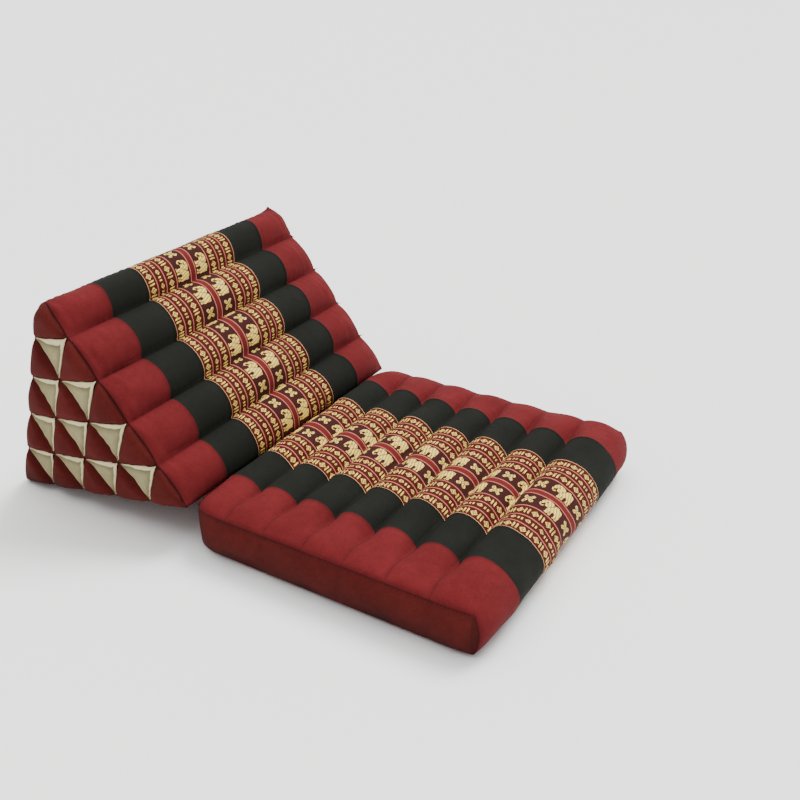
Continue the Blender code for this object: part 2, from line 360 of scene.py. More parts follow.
def end_lattice(side):
    """The end panel's points by row and column, inside the rim that the tubes' skin gives.

    Returns the number of each point, the points, and their distances from a sewn line. A number of
    0 or more counts round the rim, and the others count the points inside it from -1 down.
    """
    n = FACE_STEPS
    found, points = {}, []
    for r in range(n + 1):
        for c in range(r + 1):
            if c == r:
                found[r, c] = r
            elif r == n:
                found[r, c] = n + (n - c)
            elif c == 0:
                found[r, c] = 2 * n + (n - r)
            else:
                found[r, c] = -1 - len(points)
                points.append((r / ROLL_STEPS, c / ROLL_STEPS))
    row, column = np.array(points).T
    upright, top, back, shares = cells_at(row, column)
    made = lattice(row, column)
    for on_rim, face, one, other, height in (
        (back == top, 0, 0, 2, np.array(FRONT_ROLL_HEIGHTS)[top.astype(int)]),
        (top == ROWS - 1, 1, 1, 2, BASE_ROLL_HEIGHT),
        (back == 0, 2, 0, 1, BACK_ROLL_HEIGHT),
    ):
        both = shares[:, one] + shares[:, other]
        bow = arc(shares[:, other] / np.maximum(both, TINY), height * END_SEAM_SHARE, TUBE)
        made += OUTWARD[face] * np.where(upright & on_rim, bow * both**2, 0.0)[:, None]
    edge = np.min(shares, axis=1)
    uneven = PANEL_LUMP * waves(made + [side, 0, 0], length=0.05, seed=6) * upright
    uneven = uneven * np.minimum(edge / PANEL_CALM, 1.0)
    made[:, 0] = side * (WIDTH / 2 + end_depth(row, column) + uneven)
    ridge = ridge_share(row)
    made[:, 0] -= side * RIDGE_INSET * ridge
    made[:, 2] -= CORNER_DROP * ridge
    if side < 0:
        made[:, 0] += WORN_CORNER_INSET * ridge
        made[:, 2] -= WORN_CORNER_DROP * ridge
    made[:, 2] = np.maximum(made[:, 2], ABOVE_FLOOR)
    # The cells' edges count as sewn lines, so the cloth darkens along them: painted shadow where the pads
    # meet the pockets
    from_rim = np.minimum(np.minimum(row - column, column), ROWS - row) * CELL_HEIGHT
    return found, made, np.minimum(edge * CELL_HEIGHT + CELL_SEAM, from_rim)


def lattice_triangles(n):
    """The triangles of a lattice with n rows, as the row and column of each corner."""
    for r in range(n):
        for c in range(r + 1):
            yield (r, c), (r + 1, c), (r + 1, c + 1)
            if c < r:
                yield (r, c), (r + 1, c + 1), (r, c + 1)


def make_backrest(materials):
    """The backrest's cover. Returns the grid of points of its tubes' skin."""
    x = stations(STRIP_EDGES, BACKREST_STEPS)
    skin = backrest_skin(x)
    count, ring = skin.shape[:2]
    points = list(skin.reshape(-1, 3))
    _, _, _, share, _ = outline_places()
    valley = np.minimum(share, 1 - share) * TUBE
    across = np.minimum(from_strips(x), WIDTH / 2 - np.abs(x))
    seam = list(np.minimum(across[:, None], valley[None]).ravel())
    faces, slots, uv = [], [], []
    n = FACE_STEPS
    steps = np.linalg.norm(np.diff(skin[count // 2], axis=0, append=skin[count // 2][:1]), axis=1)
    for i in range(count - 1):
        strip = strip_slot(abs(x[i] + x[i + 1]) / 2)
        this, after = i * ring, (i + 1) * ring
        for k in range(ring):
            following = (k + 1) % ring
            faces.append((this + k, this + following, after + following, after + k))
            roll = k // ROLL_STEPS
            start = steps[roll * ROLL_STEPS:k].sum() + ROLL_PHASES[roll % ROWS]
            end = start + steps[k]
            uv += [(x[i], start), (x[i], end), (x[i + 1], end), (x[i + 1], start)]
            slots.append(RED_SLOT if n <= k < 2 * n else strip)
    # The end panels take the darker copy of the red cloth, which is painted shade
    for side, base in ((-1, 0), (1, (count - 1) * ring)):
        index, inner, from_cell_edge = end_lattice(side)
        start = len(points)
        points += list(inner)
        seam += list(from_cell_edge)

        def number(place):
            found = index[place]
            return base + found if found >= 0 else start - 1 - found

        for places in lattice_triangles(n):
            triangle = [number(place) for place in places]
            faces.append(triangle[::-1] if side < 0 else triangle)
            slots.append(END_SLOT)
            uv += [points[corner][1:] for corner in faces[-1]]
    cover = add_piece("backrest_cover", points, faces, materials, slots, uv, {"seam": seam})
    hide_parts("backrest_cushion")
    return skin


# The mat

# The puckers along the stitched lines
PINCH = 0.0004
PINCH_PITCH = 0.012
PINCH_PLACE = (0.050, 0.006)
PINCH_REACH = (0.014, 0.005)
SIDE_LUMP = 0.0011
SIDE_CALM = 0.3
CORNER_BOW = 0.35


def channel_profile(channel):
    """Height of the mat's top in its channel, from 0 to 1, the crown's height, and the share across."""
    index = np.clip(np.floor(channel + TINY), 0, CHANNELS - 1)
    share = channel - index
    height = CROWN_HEIGHT - SEAM_HEIGHT
    bow = arc(share, height, CHANNEL_PITCH) / height
    last = (index == CHANNELS - 1) & (share > 0.5)
    bow = np.where(last, 1 - 0.5 * (2 * share - 1) ** 2, bow)
    return bow, np.where(index == CHANNELS - 1, LAST_CROWN_HEIGHT, CROWN_HEIGHT), share


def mat_top(x, channel):
    from_side = WIDTH / 2 - np.abs(x)
    bow, crown_height, _ = channel_profile(channel)
    crown = EDGE_SEAM_HEIGHT + (crown_height - EDGE_SEAM_HEIGHT) * rise(from_side, SIDE_FALL)
    sewn = ease(from_side, STITCH_START, STITCH_FULL)
    dip = EDGE_CREASE * rise(from_side, STITCH_START) * (1 - sewn) + (crown_height - SEAM_HEIGHT) * sewn
    at_end = (channel < 0.5) | (channel > CHANNELS - 0.5)
    valley = np.where(at_end, EDGE_SEAM_HEIGHT, crown - dip)
    return valley + (crown - valley) * bow


def mat_bottom(x, channel):
    from_side = WIDTH / 2 - np.abs(x)
    from_end = np.minimum(channel, CHANNELS - channel) * CHANNEL_PITCH
    lifted = 1 - rise(np.minimum(from_side, from_end), BOTTOM_FALL)
    seam = np.maximum(1 - 1.8 * channel_profile(channel)[0], 0.0)
    return LOW_SEAM_HEIGHT * np.maximum(lifted, seam)


def mat_points(x, channel, up, on_side, on_end):
    """Points of the mat's outside: across, along its channels, and up from its base."""
    low, high = mat_bottom(x, channel), mat_top(x, channel)
    points = np.stack([x, -channel * CHANNEL_PITCH - FOLD_GAP, low + (high - low) * up], -1)
    belly = np.sin(math.pi * np.minimum(up, 1 - up))
    from_side = WIDTH / 2 - np.abs(x)
    from_end = np.minimum(channel, CHANNELS - channel) * CHANNEL_PITCH
    side = np.where(x < 0, -1.0, 1.0)
    front = channel > CHANNELS / 2
    end_way = np.where(front, -1.0, 1.0)
    points[..., 0] += np.where(on_side, side * SIDE_BULGE * belly * rise(from_end, SIDE_FALL), 0.0)
    fullness = CORNER_BOW + (1 - CORNER_BOW) * rise(from_side, SIDE_FALL)
    bow = np.where(front, FRONT_BULGE, BACK_BULGE) * fullness * belly
    points[..., 1] += np.where(on_end, end_way * bow, 0.0)
    side_share = np.maximum(1 - from_side / CORNER_SPAN, 0.0)
    end_share = np.maximum(1 - from_end / CORNER_SPAN, 0.0)
    inset = np.where(front, FRONT_CORNER_INSET, BACK_CORNER_INSET) * side_share * end_share
    points[..., 0] -= side * inset * end_share
    points[..., 1] -= end_way * inset * side_share
    return points


def mat_detail(points, normals, x, channel):
    """The top's unevenness, sewn grooves and puckers, as a displacement along the normals."""
    from_side = WIDTH / 2 - np.abs(x)
    _, _, share = channel_profile(channel)
    valley = np.minimum(share, 1 - share) * CHANNEL_PITCH
    inside = rise(valley, CALM) * rise(from_side, CALM)
    sewn = np.exp(-((from_strips(x) / GROOVE_HALF) ** 2))
    depth = (LUMP * waves(points, length=0.07, seed=11) - GROOVE * sewn) * inside
    pinch = np.exp(-(((from_side - PINCH_PLACE[0]) / PINCH_REACH[0]) ** 2))
    pinch = pinch * np.exp(-(((valley - PINCH_PLACE[1]) / PINCH_REACH[1]) ** 2))
    shift = 2 * waves(points, length=0.08, seed=13)
    depth += PINCH * pinch * np.sin(2 * math.pi * x / PINCH_PITCH + shift)
    return points + normals * depth[..., None]


def mat_seam(x, channel, up, on_side):
    """Distance from the nearest sewn line."""
    from_edge = (1 - up) * EDGE_SEAM_HEIGHT
    from_end = min(channel, CHANNELS - channel) * CHANNEL_PITCH
    if on_side:
        return min(from_edge, from_end)
    share = channel % 1.0
    valley = min(share, 1 - share) * CHANNEL_PITCH
    if channel > CHANNELS - 0.5:
        valley = CHANNEL_PITCH
    return min(valley + from_edge, from_strips(x), WIDTH / 2 - abs(x))


def make_mat(materials):
    x = stations(STRIP_EDGES, MAT_STEPS)
    channel = np.arange(CHANNELS * MAT_CHANNEL_STEPS + 1) / MAT_CHANNEL_STEPS
    up = (1 - np.cos(np.linspace(0, math.pi, MAT_UP_STEPS + 1))) / 2
    count = (len(x), len(channel), len(up))
    number, points, uv, seam = {}, [], [], []
    zero = np.zeros_like(channel)
    lengths = path_lengths(np.stack([zero, -channel * CHANNEL_PITCH, mat_top(zero, channel)], -1))
    front_line = mat_points(0 * up, 0 * up + CHANNELS, up, up < 0, up >= 0)
    front_lengths = path_lengths(front_line[::-1])[::-1]
    faces, slots = [], []

    def add_grid(i, j, k, flip, slot_of):
        """One side of the box: three index grids, of which one is constant."""
        shape = np.broadcast_shapes(i.shape, j.shape, k.shape)
        i, j, k = (np.broadcast_to(a, shape) for a in (i, j, k))
        on_side, on_end = (i == 0) | (i == count[0] - 1), (j == 0) | (j == count[1] - 1)
        places = mat_points(x[i], channel[j], up[k], on_side, on_end)
        normals = grid_normals(places) * (1 if flip else -1)
        moved, held = places, on_side | on_end
        if (k == count[2] - 1).all():
            moved = mat_detail(places, normals, x[i], channel[j])
        elif not (k == 0).all():
            swell = SIDE_LUMP * waves(places, length=0.06, seed=12)
            swell = swell * rise(np.minimum(up[k], 1 - up[k]), SIDE_CALM)
            moved = places + normals * swell[..., None]
            held = (k == 0) | (k == count[2] - 1) | (on_side & on_end)
        places = np.where(held[..., None], places, moved)
        ids = np.empty(shape, int)
        for a in np.ndindex(shape):
            key = (i[a], j[a], k[a])
            if key not in number:
                number[key] = len(points)
                points.append(places[a])
                past = lengths[j[a]]
                past += front_lengths[k[a]] if j[a] == count[1] - 1 else 0.0
                uv.append((x[i[a]], past))
                seam.append(mat_seam(x[i[a]], channel[j[a]], up[k[a]], on_side[a]))
            ids[a] = number[key]
        for a in range(shape[0] - 1):
            for b in range(shape[1] - 1):
                face = (ids[a, b], ids[a + 1, b], ids[a + 1, b + 1], ids[a, b + 1])
                faces.append(face[::-1] if flip else face)
                slots.append(slot_of(abs(x[i[a, b]] + x[i[a + 1, b]]) / 2))

    def plain(middle):
        return RED_SLOT

    # The mat's sides take the darker copy of the red cloth, which is painted shade
    def shaded_side_cloth(middle):
        return END_SLOT

    every_i, every_j, every_k = (np.arange(n) for n in count)
    add_grid(every_i[:, None], every_j[None], np.array(count[2] - 1), True, strip_slot)
    add_grid(every_i[:, None], every_j[None], np.array(0), False, plain)
    add_grid(every_i[:, None], np.array(count[1] - 1), every_k[None], False, strip_slot)
    add_grid(every_i[:, None], np.array(0), every_k[None], True, plain)
    add_grid(np.array(0), every_j[:, None], every_k[None], False, shaded_side_cloth)
    add_grid(np.array(count[0] - 1), every_j[:, None], every_k[None], True, shaded_side_cloth)
    cover = add_piece("mat_cover", points, faces, materials, slots, uv, {"seam": seam})
    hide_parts("mat_cushion")


# Cloth inserts in the end panels

INSERT_GAP = 0.0012
CLOTH = 0.0014
LIP_HEIGHT = 0.0046
LIP_WIDTHS = (0.0095, 0.0068)
LIP_STEP = 0.0012
LIP_OUTER = 0.55
LIP_ROUND = 0.6
LIP_UNEVEN = 0.15
INSERT_SHARE = 0.95
INSERT_WRINKLE = 0.0006


def lip(from_edge, along, width):
    """A crescent of turned cloth along one edge, which ends in a step down to the pocket's floor."""
    reach = width * np.maximum(4 * along * (1 - along), 0.0)
    turn = LIP_ROUND * math.pi * np.clip(from_edge / np.maximum(reach, 1e-4), 0, 1)
    swell = LIP_OUTER + (1 - LIP_OUTER) * np.sin(turn)
    fall = 1 - ease(from_edge, reach - LIP_STEP / 2, reach + LIP_STEP / 2)
    return swell * fall * np.minimum(reach / width * 1.6, 1.0), from_edge - reach


def insert_surface(row, column, shares, side):
    """Points of a pale insert, and how far each lies inside its lips.

    The shares are those of its corners: top back, top front and bottom front.
    """
    corners = np.array([(row, column), (row, column + 1), (row + 1, column + 1)], float)
    inner = shares * INSERT_SHARE + (1 - INSERT_SHARE) / 3
    at = inner @ corners
    points = lattice(at[..., 0], at[..., 1])
    depth = end_depth(at[..., 0], at[..., 1])
    first, second, third = (shares[..., k] for k in range(3))
    uneven = 1 + LIP_UNEVEN * math.sin(3.1 * row + 1.7 * column + side)
    along_top = (second / np.maximum(first + second, TINY)) ** 1.4
    along_front = (third / np.maximum(second + third, TINY)) ** 0.6
    top, past_top = lip(third * CELL_HEIGHT, along_top, LIP_WIDTHS[0] * uneven)
    front, past_front = lip(first * CELL_HEIGHT, along_front, LIP_WIDTHS[1] * uneven)
    raised = np.maximum(top, front)
    into_pocket = np.minimum(past_top, past_front)
    seed = 20 + row * 5 + column
    wrinkle = INSERT_WRINKLE * waves(points * [1, 2, 2], length=0.035, seed=seed)
    points[..., 0] = side * (WIDTH / 2 + depth + INSERT_GAP + LIP_HEIGHT * raised + wrinkle)
    return points, into_pocket


def make_insert(side, side_name, row, column, material):
    n = INSERT_STEPS
    index, places = {}, []
    for r in range(n + 1):
        for c in range(r + 1):
            index[r, c] = len(places)
            places.append((c / n, (r - c) / n, 1 - r / n))
    shares = np.array(places)
    # The mesh is finest beside the two lips
    shares[:, 2] = shares[:, 2] ** 1.3
    rest = np.maximum(shares[:, 0] + shares[:, 1], 1e-9)
    scale = (1 - shares[:, 2]) / rest
    shares[:, 0] *= scale
    shares[:, 1] *= scale
    points, into_pocket = insert_surface(row, column, shares, side)
    faces = [[index[place] for place in corners] for corners in lattice_triangles(n)]
    first, second, third = points[faces[n]]
    if np.cross(second - first, third - first)[0] * side < 0:
        faces = [face[::-1] for face in faces]
    piece = add_piece(
        f"{side_name}_insert_{row}_{column + 1}", points, faces, [material], uv=points[:, 1:],
        fields={"pocket": into_pocket},
    )
    thicken(piece, CLOTH)
    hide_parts(f"insert_{side_name}_{row}_{column + 1}")


# Sewing thread and the cloth hinge

STITCH_LENGTH = 0.0036
STITCH_PITCH = 0.0052
THREAD_RADIUS = 0.00045
STITCH_SIDES = 6
STITCH_ROUNDING = ((0.0, 0.15), (0.12, 0.8), (0.3, 1.0), (0.7, 1.0), (0.88, 0.8), (1.0, 0.15))
STITCH_OFFSET = 0.15
CORNER_SEAM = (0.04, 0.98)
KNOT_RADIUS = 0.0009
KNOT_ENDS = (0.0022, 0.0026)
KNOT_LIFT = 0.0012
TAIL_RADIUS = 0.0004
TAIL_LENGTH = 0.007


class Threads:
    """Short threads gathered into one mesh."""

    def __init__(self):
        self.points, self.faces = [], []

    def add(self, start, end, radius=THREAD_RADIUS):
        way = end - start
        length = np.linalg.norm(way)
        way = way / length
        across = np.cross(way, [0.3, 0.5, 0.8])
        across /= np.linalg.norm(across)
        upright = np.cross(way, across)
        base = len(self.points)
        for along, swell in STITCH_ROUNDING:
            for k in range(STITCH_SIDES):
                turn = 2 * math.pi * k / STITCH_SIDES
                out = across * math.cos(turn) + upright * math.sin(turn)
                self.points.append(start + way * length * along + out * radius * swell)
        for ring in range(len(STITCH_ROUNDING) - 1):
            for k in range(STITCH_SIDES):
                a, b = base + ring * STITCH_SIDES, (k + 1) % STITCH_SIDES
                self.faces.append((a + k, a + b, a + STITCH_SIDES + b, a + STITCH_SIDES + k))
        last = base + (len(STITCH_ROUNDING) - 1) * STITCH_SIDES
        self.faces.append(tuple(range(base + STITCH_SIDES - 1, base - 1, -1)))
        self.faces.append(tuple(range(last, last + STITCH_SIDES)))

    def sew(self, path):
        """Running stitches along a path of points."""
        reached = path_lengths(path)
        for k in range(int(reached[-1] / STITCH_PITCH)):
            begins = (k + STITCH_OFFSET) * STITCH_PITCH
            ends = np.interp([begins, begins + STITCH_LENGTH], reached, np.arange(len(path)))
            first, second = (
                np.array([np.interp(end, np.arange(len(path)), path[:, axis]) for axis in range(3)])
                for end in ends
            )
            self.add(first, second)


def mat_rim(x, channel, up):
    """Points on the mat's edge seams, where its top meets the sides."""
    x, channel, up = (a.astype(float) for a in np.broadcast_arrays(x, channel, up))
    on_side = np.abs(x) > WIDTH / 2 - TINY
    return mat_points(x, channel, up, on_side, (channel < TINY) | (channel > CHANNELS - TINY))


def make_sewing(skin, dark_thread, cord):
    stitches = Threads()
    half = WIDTH / 2
    fine = np.linspace(0, 1, 500)
    for side in (-1, 1):
        stitches.sew(mat_rim(side * half, fine * CHANNELS, 1.0))
        for end in (0, CHANNELS):
            stitches.sew(mat_rim(side * half, float(end), np.linspace(*CORNER_SEAM, 200)))
    stitches.sew(mat_rim((2 * fine - 1) * half, 0.0, 1.0))
    for grid in (skin[0], skin[-1]):
        stitches.sew(np.concatenate([grid, grid[:1]]))
    add_piece("seam_stitches", stitches.points, stitches.faces, [dark_thread])

    # Cords that draw the tubes together show at the corners of the cells
    knots = Threads()
    for side in (-1, 1):
        for row in range(1, ROWS):
            for column in range(1, row + 1):
                place = lattice(row, column)
                depth = end_depth(np.array(float(row)), np.array(float(column)))
                place[0] = side * (half + KNOT_LIFT + depth)
                swing = 1.3 * row + 2.1 * column + side
                tail = np.array([side * 0.6, math.cos(swing), math.sin(swing)])
                knots.add(place - tail * KNOT_ENDS[0], place + tail * KNOT_ENDS[1], KNOT_RADIUS)
                if column == row:
                    loose = np.array([side * 0.5, -0.7, 0.4 * math.sin(swing)])
                    knots.add(place, place + loose * TAIL_LENGTH, TAIL_RADIUS)
    add_piece("corner_knots", knots.points, knots.faces, [cord])


HINGE_INSET = 0.009
HINGE_DROP = 0.018
HINGE_GAP = 0.0006
HINGE_LUMP = 0.0003
HINGE_SEAM_INSET = 0.001
HINGE_CLOTH = 0.0018


def make_hinge(material):
    """The strip that joins the mat to the backrest, on the mat's back seam."""
    x = np.linspace(-1, 1, 121) * (WIDTH / 2 - HINGE_INSET)
    down = np.linspace(0, 1, 9)
    high, low = mat_top(x, 0 * x), mat_bottom(x, 0 * x)
    up = (high[:, None] - down[None] * HINGE_DROP - low[:, None]) / (high - low)[:, None]
    wide = np.broadcast_to(x[:, None], up.shape)
    nowhere = np.zeros(up.shape)
    points = mat_points(wide, nowhere, up, nowhere > 0, nowhere == 0)
    points[..., 1] += HINGE_GAP + HINGE_LUMP * waves(points, length=0.05, seed=31)
    count = up.shape[1]
    faces = [
        (a * count + b, (a + 1) * count + b, (a + 1) * count + b + 1, a * count + b + 1)
        for a in range(len(x) - 1) for b in range(count - 1)
    ]
    flat = points.reshape(-1, 3)
    first, second, third = (flat[corner] for corner in faces[0][:3])
    if np.cross(second - first, third - first)[1] < 0:
        faces = [face[::-1] for face in faces]
    seam = np.broadcast_to(np.minimum(down, 1 - down) * HINGE_DROP + HINGE_SEAM_INSET, up.shape)
    piece = add_piece(
        "hinge_cloth", flat, faces, [material], uv=flat[:, [0, 2]], fields={"seam": seam.ravel()}
    )
    thicken(piece, HINGE_CLOTH)
    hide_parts("hinge_strip")


# Materials

WEAVE_PITCH = 0.0011
COTTON_ROUGHNESS = 0.9
ROUGHNESS_RANGE = 0.12
BROAD_SCALE = 14.0
MOTTLED_SCALE = 95.0
FINE_SCALE = 360.0
PATCH_SCALE = 40.0
PATCHES = (1.2, -0.1)

# Shares of the noises and the weave in a cotton's shade, and the level about which they vary
BROAD_SHARE = 0.9
MOTTLED_SHARE = 0.5
FINE_SHARE = 0.8
WEAVE_SHARE = 0.18
SHADE_LEVEL = 0.72
COTTON_SPECULAR = 0.15
COTTON_SHEEN = 0.06
SHEEN_ROUGHNESS = 0.4
COTTON_RELIEF = 0.00035
PATTERN_RELIEF = 0.0003
RELIEF_STRENGTH = 0.7

# The darkening on a sewn line, partly its own dark joint and partly painted crease shadow; painted shade
# in the cloth beside it; and painted shade that deepens towards the floor
SEWN_LINE = 0.0011
SEWN_DARK = 0.45
BESIDE_SEAM = 0.006
BESIDE_SHADE = 0.20
DEEP_SHARE = 0.3
FLOOR_SHADE_HEIGHT = 0.055


class Nodes:
    """A material's node tree, with short calls for the nodes used most."""

    def __init__(self, name):
        self.material = bpy.data.materials.new(name)
        self.material.use_nodes = True
        self.tree = self.material.node_tree
        self.shader = self.tree.nodes["Principled BSDF"]

    def put(self, socket, value):
        if isinstance(value, bpy.types.NodeSocket):
            self.tree.links.new(value, socket)
        else:
            socket.default_value = value

    def new(self, kind, **inputs):
        """A node of this kind, with its inputs set or linked."""
        node = self.tree.nodes.new("ShaderNode" + kind)
        for label, value in inputs.items():
            self.put(node.inputs[label], value)
        return node

    def math(self, operation, *values):
        node = self.new("Math")
        node.operation = operation
        for socket, value in zip(node.inputs, values):
            self.put(socket, value)
        return node.outputs[0]

    def times(self, first, second):
        return self.math("MULTIPLY", first, second)

    def surface(self, label, value):
        """Set an input of the material's shader."""
        self.put(self.shader.inputs[label], value)

    def mix(self, share, first, second):
        node = self.new("Mix")
        node.data_type = "RGBA"
        self.put(node.inputs["Factor"], share)
        self.put(node.inputs[6], first)
        self.put(node.inputs[7], second)
        return node.outputs[2]

    def cloth_uv(self):
        """Distances across the width and along the cloth."""
        node = self.new("UVMap")
        node.uv_map = "cloth"
        return self.split(node.outputs[0])[:2]

    def split(self, vector):
        return self.new("SeparateXYZ", Vector=vector).outputs[:]

    def place(self):
        return self.new("TexCoord").outputs["Object"]

    def noise(self, vector, scale, detail=3.0):
        return self.new("TexNoise", Vector=vector, Scale=scale, Detail=detail).outputs["Fac"]

    def bump(self, height, distance):
        node = self.new("Bump", Height=height, Distance=distance, Strength=RELIEF_STRENGTH)
        self.surface("Normal", node.outputs[0])

    def field(self, name):
        node = self.new("Attribute")
        node.attribute_name = name
        return node.outputs["Fac"]

    def fade(self, value, start, end):
        """1 at the start value and 0 at the end value, with a soft change between."""
        node = self.new("MapRange", Value=value)
        node.interpolation_type = "SMOOTHSTEP"
        for label, limit in (("From Min", start), ("From Max", end), ("To Min", 1.0), ("To Max", 0.0)):
            node.inputs[label].default_value = limit
        return node.outputs["Result"]

    def wave(self, value, length):
        return self.math("SINE", self.times(value, 2 * math.pi / length))

    def weave(self, across, along):
        """Threads over and under each other, from 0 in the gaps to 1 on the threads."""
        crossed = self.times(self.wave(across, WEAVE_PITCH), self.wave(along, WEAVE_PITCH))
        return self.math("MULTIPLY_ADD", crossed, 0.5, 0.5)


def darker(colour, share):
    return tuple(share * part for part in colour[:3]) + (1.0,)


def cotton_nodes(name, colour, dark, sheen=COTTON_SHEEN, has_uv=True):
    """A plain weave. Returns its nodes, and the cloth's colour for more to be laid over it."""
    nodes = Nodes(name)
    place = nodes.place()
    if has_uv:
        across, along = nodes.cloth_uv()
    else:
        across, _, along = nodes.split(place)
    weave = nodes.weave(across, along)
    broad = nodes.noise(place, BROAD_SCALE)
    mottled = nodes.noise(place, MOTTLED_SCALE, 4.0)
    fine = nodes.noise(place, FINE_SCALE, 2.0)
    shade = nodes.math("MULTIPLY_ADD", broad, BROAD_SHARE, nodes.times(fine, FINE_SHARE))
    shade = nodes.math("SUBTRACT", shade, SHADE_LEVEL)
    shade = nodes.math("MULTIPLY_ADD", mottled, MOTTLED_SHARE, shade)
    shade = nodes.math("MULTIPLY_ADD", weave, WEAVE_SHARE, shade)
    cloth = nodes.mix(shade, dark, colour)
    smoothest = COTTON_ROUGHNESS - ROUGHNESS_RANGE / 2
    rough = nodes.math("MULTIPLY_ADD", fine, ROUGHNESS_RANGE, smoothest)
    nodes.surface("Roughness", rough)
    nodes.surface("Specular IOR Level", COTTON_SPECULAR)
    nodes.surface("Sheen Weight", sheen)
    nodes.surface("Sheen Roughness", SHEEN_ROUGHNESS)
    nodes.surface("Sheen Tint", colour)
    height = nodes.math("MULTIPLY_ADD", fine, 0.6, weave)
    nodes.bump(nodes.math("MULTIPLY_ADD", mottled, 0.8, height), COTTON_RELIEF)
    return nodes, cloth


def plain_cotton(name, colour, dark, floor_shade):
    """A plain weave with dark sewn lines that are partly painted crease shadow, painted shade beside them,
    and painted shade towards the floor.
    """
    nodes, cloth = cotton_nodes(name, colour, dark)
    deep = darker(dark, DEEP_SHARE)
    # Painted shade in the cloth beside each sewn line, and a dark line on it that is partly the seam's
    # joint and partly painted crease shadow
    beside = nodes.times(nodes.fade(nodes.field("seam"), 0.0, BESIDE_SEAM), BESIDE_SHADE)
    seam_line_and_shadow = nodes.times(nodes.fade(nodes.field("seam"), 0.0, SEWN_LINE), SEWN_DARK)
    cloth = nodes.mix(nodes.math("MAXIMUM", beside, seam_line_and_shadow), cloth, deep)
    # Painted shade that darkens the cloth towards the floor, in patches
    _, _, height = nodes.split(nodes.place())
    low = nodes.fade(height, 0.0, FLOOR_SHADE_HEIGHT)
    patchy = nodes.math("MULTIPLY_ADD", nodes.noise(nodes.place(), PATCH_SCALE, 4.0), *PATCHES)
    floor_shaded = nodes.times(nodes.times(low, patchy), floor_shade)
    nodes.surface("Base Color", nodes.mix(floor_shaded, cloth, deep))
    return nodes.material


# Painted light and shade on the inserts: a painted highlight on their lips, painted shade in their pockets
# and a painted shadow line along each fold
POCKET_SHEEN = 0.04
LIP_HIGHLIGHT = 1.35
BRIGHTEST = 0.9
POCKET_SHADE_SHARE = 0.55
FOLD_SHADOW_SHARE = 0.08
LIP_SOFTNESS = 0.0006
POCKET_SHADE = 0.020
FOLD_SHADE = (0.0004, 0.0022)


def pocket_cotton(name, colour, dark):
    """Undyed cotton, with a painted highlight on the turned lips, painted shade in the pocket and a
    painted shadow line in the fold beside them.
    """
    nodes, cloth = cotton_nodes(name, colour, dark, sheen=POCKET_SHEEN)
    into = nodes.field("pocket")
    pocket_shade_colour = darker(dark, POCKET_SHADE_SHARE)
    deep = darker(dark, FOLD_SHADOW_SHARE)
    lip_highlight = tuple(min(LIP_HIGHLIGHT * part, BRIGHTEST) for part in colour[:3]) + (1.0,)
    # A painted highlight on the lips, painted shade in the pocket and a painted shadow line along the fold
    on_lip = nodes.fade(into, -LIP_SOFTNESS, 0.0)
    pocket = nodes.mix(nodes.fade(into, 0.0, POCKET_SHADE), cloth, pocket_shade_colour)
    off_lip = nodes.math("SUBTRACT", 1.0, on_lip)
    fold = nodes.times(nodes.fade(into, *FOLD_SHADE), off_lip)
    pocket = nodes.mix(nodes.times(fold, 0.8), pocket, deep)
    nodes.surface("Base Color", nodes.mix(on_lip, pocket, lip_highlight))
    return nodes.material


# Woven motifs, one mark for each thread, and # for a raised one. The elephant stands upright.

ELEPHANT = (
    "......######...............",
    "....##########....####.....",
    "...############..########..",
    "..#############.###########",
    "..####..#######.###########",
    ".#####..######.############",
    ".#############.############",
    ".####.#######.#############",
    ".###..######.##############",
    "###...######.##############",
    "##....#####.###############",
    "##....####################.",
    "##..#.....#################",
    ".####.....########..#######",
    "..##......#######....######",
    "..........####.##....##.###",
    "..........####.##....##.##.",
    "..........####.##....##.##.",
    "..........####.##....##.##.",
    ".........#####.##...###.##.",
    ".........####.###...##.###.",
)
FLOWER = (
    ".###.....###.",
    "#####...#####",
    "##.###.###.##",
    ".##.##.##.##.",
    "..####.####..",
    "...##.#.##...",
    ".....###.....",
    "...##.#.##...",
    "..####.####..",
    ".##.##.##.##.",
    "##.###.###.##",
    "#####...#####",
    ".###.....###.",
)
DIAMOND = (
    "....#....",
    "...###...",
    "..##.##..",
    ".##.#.##.",
    "##.###.##",
    ".##.#.##.",
    "..##.##..",
    "...###...",
    "....#....",
    ".........",
) + 2 * (
    "########.",
    ".########",
    ".........",
    ".........",
)
SMALL_DIAMOND = (
    "..#...",
    ".###..",
    "##.##.",
    "#.#.#.",
    "##.##.",
    ".###..",
    "..#...",
    "......",
    "......",
    ".####.",
    ".####.",
    "......",
    "......",
    ".####.",
    ".####.",
    "......",
    "......",
    "......",
)


def head_first(chart):
    """The upright chart turned, so that its lines run from the head to the tail, feet to the left."""
    return ["".join(line[k] for line in reversed(chart)) for k in range(len(chart[0]))]


# A woven thread's width, and the repeats and starts as numbers of threads
THREAD = 0.00122
REPEAT = 54
MOTIF_REPEAT = REPEAT // 3
FLOWER_START = 34
FLOWER_INSET = 4.0
MOST_THREADS = 22.0


def band(nodes, value, low, high):
    """1 where the value lies between the two limits."""
    above = nodes.math("GREATER_THAN", value, low)
    return nodes.times(above, nodes.math("LESS_THAN", value, high))


